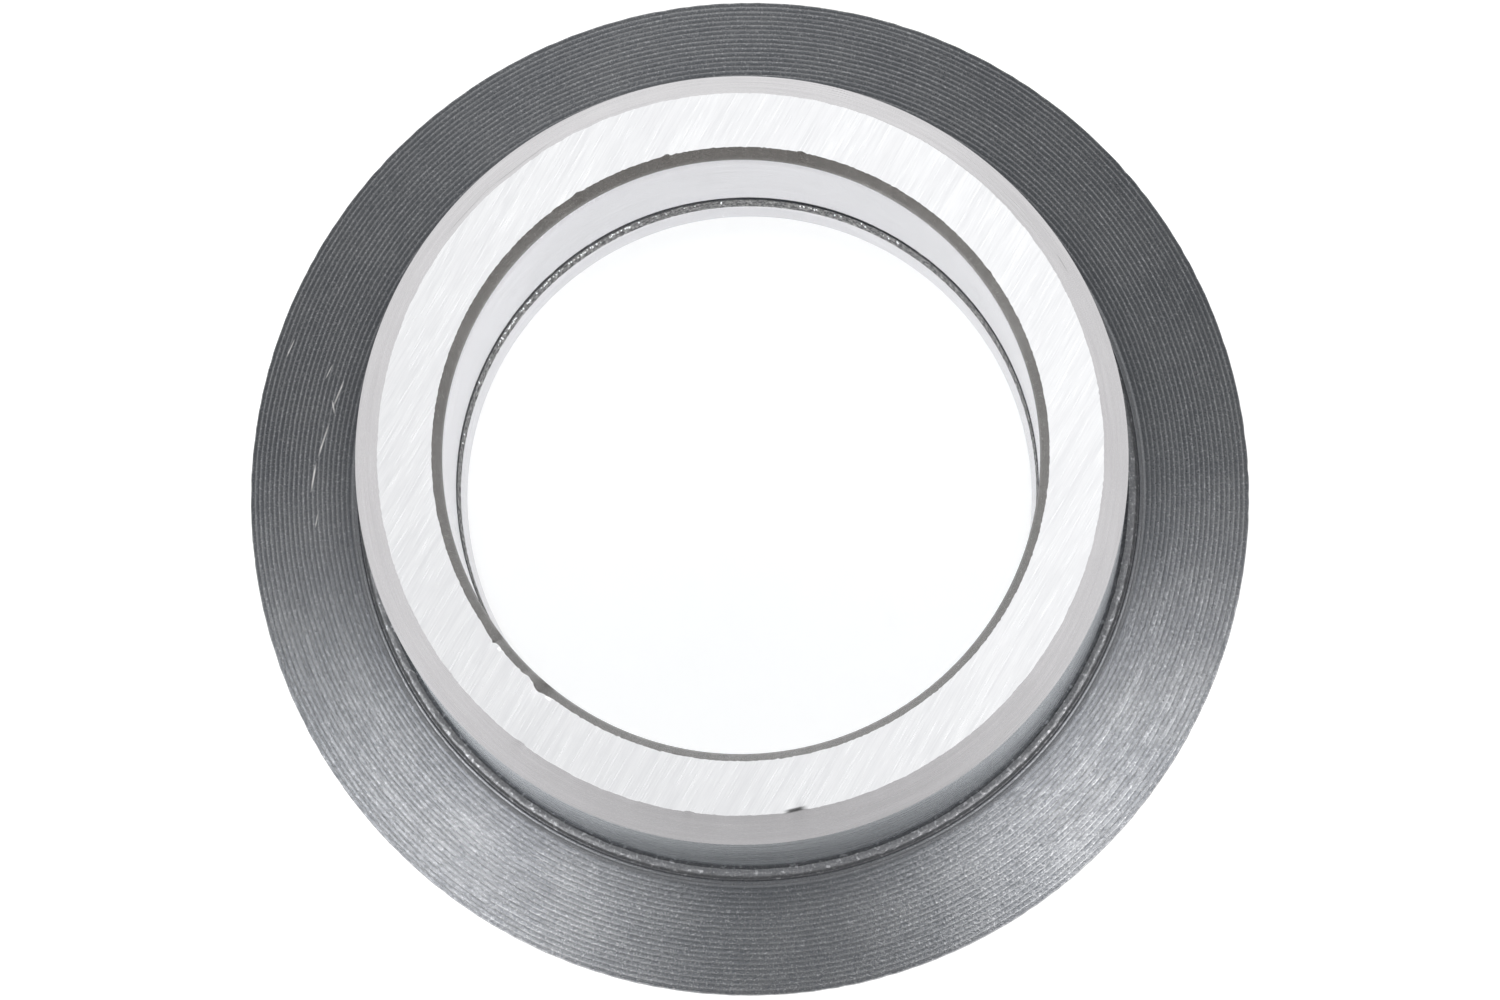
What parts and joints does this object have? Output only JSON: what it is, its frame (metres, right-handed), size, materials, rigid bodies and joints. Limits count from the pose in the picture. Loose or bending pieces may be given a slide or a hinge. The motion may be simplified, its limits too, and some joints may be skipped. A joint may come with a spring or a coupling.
{
  "type": "sight glass",
  "caption": "Steel ring with a cone-faced flange, a long collar, a ground end face and a glass disc fused into its bore.",
  "frame": {"origin": "centre of the flange's back face, on the bore's axis", "axes": "+Z along the bore's axis, from the flange towards the collar's ground end face; the part is round, so X and Y are free"},
  "size_m": [0.06, 0.06, 0.0265],
  "materials": {
    "turned_steel": "collar ground and turned bright, flange left with its dark oxide and coarse turning grooves",
    "window_glass": "clear borosilicate glass with light handling scratches",
    "bond_glass": "dark oxide-bearing glass with small bubbles"
  },
  "bodies": {
    "root": {"steel_ring": "turned_steel", "glass_disc": "window_glass", "bond_ring": "bond_glass"}
  },
  "joints": []
}
